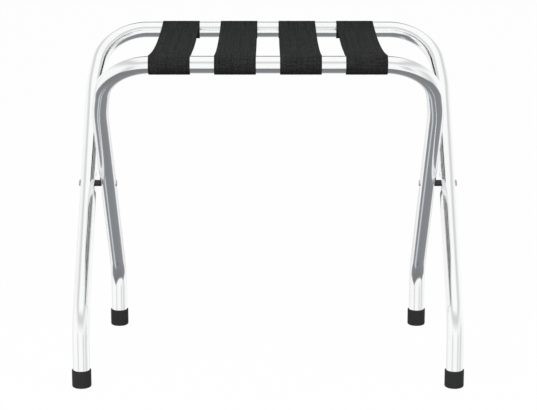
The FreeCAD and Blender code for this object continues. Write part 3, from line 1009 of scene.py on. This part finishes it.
# %% [markdown]
# Each seam is a box 40 mm wide with a cross in it, drawn on the span and lowered to the cloth's two faces.
# All the seams of one end are one mesh, because they move with one body.

# %% Sew the loops
SEAM_WIDTH = 0.040
SEAM_MARGIN = 0.003
SEAM_POINT_PITCH = 0.004
SEWING_INPUTS = {
    "Pitch": STITCH_PITCH,
    "Length": STITCH_LENGTH,
    "Width": STITCH_WIDTH,
    "Rise": STITCH_RISE,
    "Seed": STITCH_SEED,
    "Material": thread,
}


def seam_runs():
    """The straight runs of one seam, as pairs of corners across and along the strap."""
    side = SEAM_WIDTH / 2
    near = LOOP_REACH + SEAM_MARGIN
    far = LOOP_REACH + SEAM_LENGTH - SEAM_MARGIN
    corners = [Vector((-side, near)), Vector((side, near)), Vector((side, far)), Vector((-side, far))]
    sides = list(zip(corners, corners[1:] + corners[:1]))
    return sides + [(corners[0], corners[2]), (corners[1], corners[3])]


def seam_mesh(end):
    rail = rails[end]
    towards = -1 if rail.y > 0 else 1
    faces = (-STRAP_THICKNESS / 2, 1.5 * STRAP_THICKNESS + TAIL_GAP)
    points = []
    edges = []
    for number in STRAP_NUMBERS:
        for below in faces:
            for start, finish in seam_runs():
                first = len(points)
                for flat in between(start, finish, SEAM_POINT_PITCH):
                    sewn = on_span(flat.y, below)
                    points.append((strap_place(number) + flat.x, rail.y + towards * sewn.x, rail.z + sewn.y))
                edges += [(place, place + 1) for place in range(first, len(points) - 1)]
    mesh = bpy.data.meshes.new(f"{end}_seam_lines")
    mesh.from_pydata(points, edges, [])
    return mesh


for end in rails:
    piece = grow(f"{end}_stitches", seam_mesh(end), sewing, SEWING_INPUTS)
    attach(piece, f"{end}_straps")
    print(piece.name, triangles(piece), "triangles")

# %% [markdown]
# The stage is a plain white studio. The floor shows white to the camera but still takes the rack's shadow:
# most of its white is given, and the rest is lit. It throws back less light than it shows, so that the
# straps stay dark below. Mirrors look through it to the room, which is white from the floor's edge up and
# grey straight below, because a chromed tube only looks like metal when it has something darker to reflect.

# %% Floor
FLOOR_SIZE = 30.0
FLOOR_GIVEN = 0.97
FLOOR_PAINT = (0.88, 0.88, 0.88, 1)
FLOOR_BOUNCE = (0.35, 0.35, 0.35, 1)


def studio_floor():
    material, board = new_material("studio_floor")
    ray = board.add("ShaderNodeLightPath")
    surface = board.mix(ray["Is Camera Ray"], FLOOR_BOUNCE, FLOOR_PAINT)
    lit = board.add("ShaderNodeBsdfDiffuse", {}, {"Color": surface})["BSDF"]
    white = board.add("ShaderNodeEmission", {}, {"Color": (1, 1, 1, 1), "Strength": 1.0})["Emission"]
    clear = board.add("ShaderNodeBsdfTransparent")["BSDF"]
    given_share = FLOOR_GIVEN * ray["Is Camera Ray"]
    seen = board.add("ShaderNodeMixShader", {}, {0: given_share, 1: lit, 2: white})["Shader"]
    mirrored = ray["Is Glossy Ray"] + ray["Is Transmission Ray"]
    shader = board.add("ShaderNodeMixShader", {}, {0: mirrored, 1: seen, 2: clear})["Shader"]
    board.add("ShaderNodeOutputMaterial", {}, {"Surface": shader})
    return material


half_floor = FLOOR_SIZE / 2
floor_mesh = bpy.data.meshes.new("studio_floor")
floor_corners = [(-half_floor, -half_floor, 0), (half_floor, -half_floor, 0)]
floor_corners += [(half_floor, half_floor, 0), (-half_floor, half_floor, 0)]
floor_mesh.from_pydata(floor_corners, [], [(0, 1, 2, 3)])
floor_mesh.materials.append(studio_floor())
show("studio_floor", floor_mesh)
print("floor", FLOOR_SIZE, "m square")

# %% [markdown]
# Chrome has no look of its own, only that of the room it stands in. This room is a world shader that reads
# the direction of a ray, so it costs no geometry and stays where it is when the camera moves. `turn` is the
# way round the room from the camera's side. `wall_angle` is the height on the nearest wall, as an angle,
# which makes a line on the walls run straight along them.

# %% Directions in the room
ROOM_DEPTH_SHARE = 1.43
DEGREES = 180 / math.pi

room = bpy.data.worlds.new("studio_room")
room.use_nodes = True
room.node_tree.nodes.clear()
bpy.context.scene.world = room
board = Board(room.node_tree)
heading = board.add("ShaderNodeTexCoord")["Generated"]
parts = board.add("ShaderNodeSeparateXYZ", {}, {"Vector": heading})
right, back, up = parts["X"], parts["Y"], parts["Z"]
turn = up.math("ARCTAN2", right, -1 * back) * DEGREES
nearest_wall = up.math("MAXIMUM", abs(right) * ROOM_DEPTH_SHARE, abs(back))
wall_angle = up.math("ARCTAN2", up, nearest_wall) * DEGREES
print("directions take", len(room.node_tree.nodes), "nodes")

# %% [markdown]
# The room is a plain white box. Its walls have a soft grey line where they meet the ceiling, a little
# higher on the left, greyer patches low down, a grey band behind the rack below the horizon, and a dark gap
# high on the wall behind. A studio could be modelled and lit, but then each line in the chrome would be
# hard to move.

# %% Walls
WHITE = (1, 1, 1, 1)
WALL_GREY = (0.15, 0.15, 0.155, 1)
CEILING_ANGLE = 37.0
LEFT_CEILING_RISE = 7.0
CEILING_FADE_ABOVE = 20.0
CEILING_FADE_BELOW = 30.0
CEILING_SHADE = 0.40
LOW_WALL = (-28.0, 8.0, 10.0)
WALL_SHADES = {
    "front left corner": (-36, 15, 0.34),
    "front right corner": (36, 15, 0.42),
    "right wall": (76, 34, 0.34),
    "left back corner": (-124, 24, 0.16),
}
BEHIND_TURN = (130.0, 160.0)
BEHIND_BAND = (-50.0, -16.0, 6.0)
BEHIND_SHADE = 0.3
GAP_TURN = (158.0, 174.0)
GAP_BAND = (17.0, 46.0, 3.0)
GAP_GREY = (0.20, 0.205, 0.21, 1)


def between_angles(angle, low, high, soft):
    """1 from low to high, fading at both ends."""
    return angle.step(low - soft, low + soft) * (1 - angle.step(high - soft, high + soft))


above_ceiling = wall_angle - CEILING_ANGLE - LEFT_CEILING_RISE * up.math("MAXIMUM", -1 * right, 0.0)
fade_above = above_ceiling / CEILING_FADE_ABOVE
fade_below = -1 * above_ceiling / CEILING_FADE_BELOW
ceiling_line = 1 - up.math("MAXIMUM", fade_above, fade_below).step(0.0, 1.0)
walls = board.mix(CEILING_SHADE * ceiling_line, WHITE, WALL_GREY)
low_wall = between_angles(wall_angle, *LOW_WALL)
for centre, reach, share in WALL_SHADES.values():
    shade = share * low_wall * (1 - abs(turn - centre).step(0, reach))
    walls = board.mix(shade, walls, WALL_GREY)
behind = abs(turn).step(*BEHIND_TURN) * between_angles(wall_angle, *BEHIND_BAND)
walls = board.mix(BEHIND_SHADE * behind, walls, WALL_GREY)
gap = abs(turn).step(*GAP_TURN) * between_angles(wall_angle, *GAP_BAND)
walls = board.mix(gap, walls, GAP_GREY)
print("shaded walls:", sorted(WALL_SHADES))

# %% [markdown]
# On the floor lies a grey mat with a paler stripe, which gives the tubes their dark bands. Its edges are
# straight, so they are worked out on a flat plane one unit below: a ray's sideways parts over its fall give
# the place where it lands. Only mirrors see the mat. The camera sees white, and matt surfaces get one even
# light.

# %% Mat, and the whole room
MAT_HALF_WIDTH = 1.66
MAT_BACK = 0.86
MAT_BACK_SLANT = 0.14
MAT_FRONT = -1.04
MAT_FRONT_SLANT = 0.40
MAT_EDGE = 0.06
MAT_FADE = 0.9
MAT_FRONT_GREY = (0.205, 0.208, 0.214, 1)
MAT_BACK_GREY = (0.262, 0.272, 0.289, 1)
LEAST_FALL = 0.02
HORIZON_FADE = (-0.2, -0.1)
PALE_STRIPE = (-0.39, 0.28)
PALE_STRIPE_SIZE = (0.145, 0.40)
PALE_STRIPE_CORE = (0.3, 0.5)
PALE_STRIPE_GREY = (0.62, 0.65, 0.70, 1)
ROOM_LIGHT = (0.58, 0.58, 0.58, 1)

fall = up.math("MAXIMUM", abs(up), LEAST_FALL)
mat_x = right / fall
mat_y = back / fall
past_back = mat_y - MAT_BACK - MAT_BACK_SLANT * mat_x
past_front = MAT_FRONT + MAT_FRONT_SLANT * mat_x - mat_y
off_mat = up.math("MAXIMUM", past_back, past_front)
off_mat = up.math("MAXIMUM", off_mat, abs(mat_x) - MAT_HALF_WIDTH)
mat = (1 - off_mat.step(-MAT_EDGE, MAT_EDGE)) * (1 - up.step(*HORIZON_FADE))
mat_colour = board.mix(mat_y.step(-MAT_FADE, MAT_FADE), MAT_FRONT_GREY, MAT_BACK_GREY)
stripe_x = abs(mat_x - PALE_STRIPE[0]) / PALE_STRIPE_SIZE[0]
stripe_y = abs(mat_y - PALE_STRIPE[1]) / PALE_STRIPE_SIZE[1]
pale_stripe = (1 - stripe_x.step(PALE_STRIPE_CORE[0], 1.0)) * (1 - stripe_y.step(PALE_STRIPE_CORE[1], 1.0))
mat_colour = board.mix(pale_stripe, mat_colour, PALE_STRIPE_GREY)
mirrored_room = board.mix(mat, walls, mat_colour)

ray = board.add("ShaderNodeLightPath")
seen_room = board.mix(ray["Is Camera Ray"], mirrored_room, WHITE)
colour = board.mix(ray["Is Diffuse Ray"], seen_room, ROOM_LIGHT)
background = board.add("ShaderNodeBackground", {}, {"Color": colour, "Strength": 1.0})["Background"]
board.add("ShaderNodeOutputWorld", {}, {"Surface": background})
print("room has", len(room.node_tree.nodes), "nodes")

# %% [markdown]
# Two large soft lamps give the straps and tips some shape: a key from the upper left and a weaker fill from
# the right. They are wide, so the shadows stay soft. A mirror would show them as hot squares, so they are
# hidden from glossy rays, and the chrome sees only the room.

# %% Lamps
LAMPS = {
    "key_lamp": {"place": (-1.5, -2.6, 1.7), "size": 2.2, "power": 62.0},
    "fill_lamp": {"place": (1.9, -1.8, 1.7), "size": 2.0, "power": 22.0},
}
LAMP_TARGET = Vector((0, 0, 0.25))

for name, lamp in LAMPS.items():
    data = bpy.data.lights.new(name, "AREA")
    data.size = lamp["size"]
    data.energy = lamp["power"]
    lamp_object = show(name, data)
    lamp_object.visible_glossy = False
    lamp_object.location = lamp["place"]
    lamp_object.rotation_euler = (LAMP_TARGET - lamp_object.location).to_track_quat("-Z", "Y").to_euler()
print("lamps:", sorted(LAMPS))

# %% [markdown]
# The camera stands where the photograph's did: straight in front, a little above the rails, with a long
# lens. Its numbers come from fitting the edges of the rails, straps, legs and tips.

# %% Camera
PHOTO_WIDTH = 537
FOCAL_PIXELS = 1867.5
SENSOR_WIDTH = 36.0
CAMERA_PLACE = (0, -2.4786, 0.76705)
CAMERA_PITCH = math.radians(12.65)
CENTRE_SHIFT = 0.55

camera = bpy.data.cameras.new("camera")
camera.sensor_width = SENSOR_WIDTH
camera.lens = FOCAL_PIXELS * SENSOR_WIDTH / PHOTO_WIDTH
camera.shift_x = CENTRE_SHIFT / PHOTO_WIDTH
camera_object = show("camera", camera)
camera_object.location = CAMERA_PLACE
camera_object.rotation_euler = (math.pi / 2 - CAMERA_PITCH, 0, 0)
bpy.context.scene.camera = camera_object
bpy.context.scene.view_settings.view_transform = "Standard"
print(f"lens {camera.lens:.1f} mm")
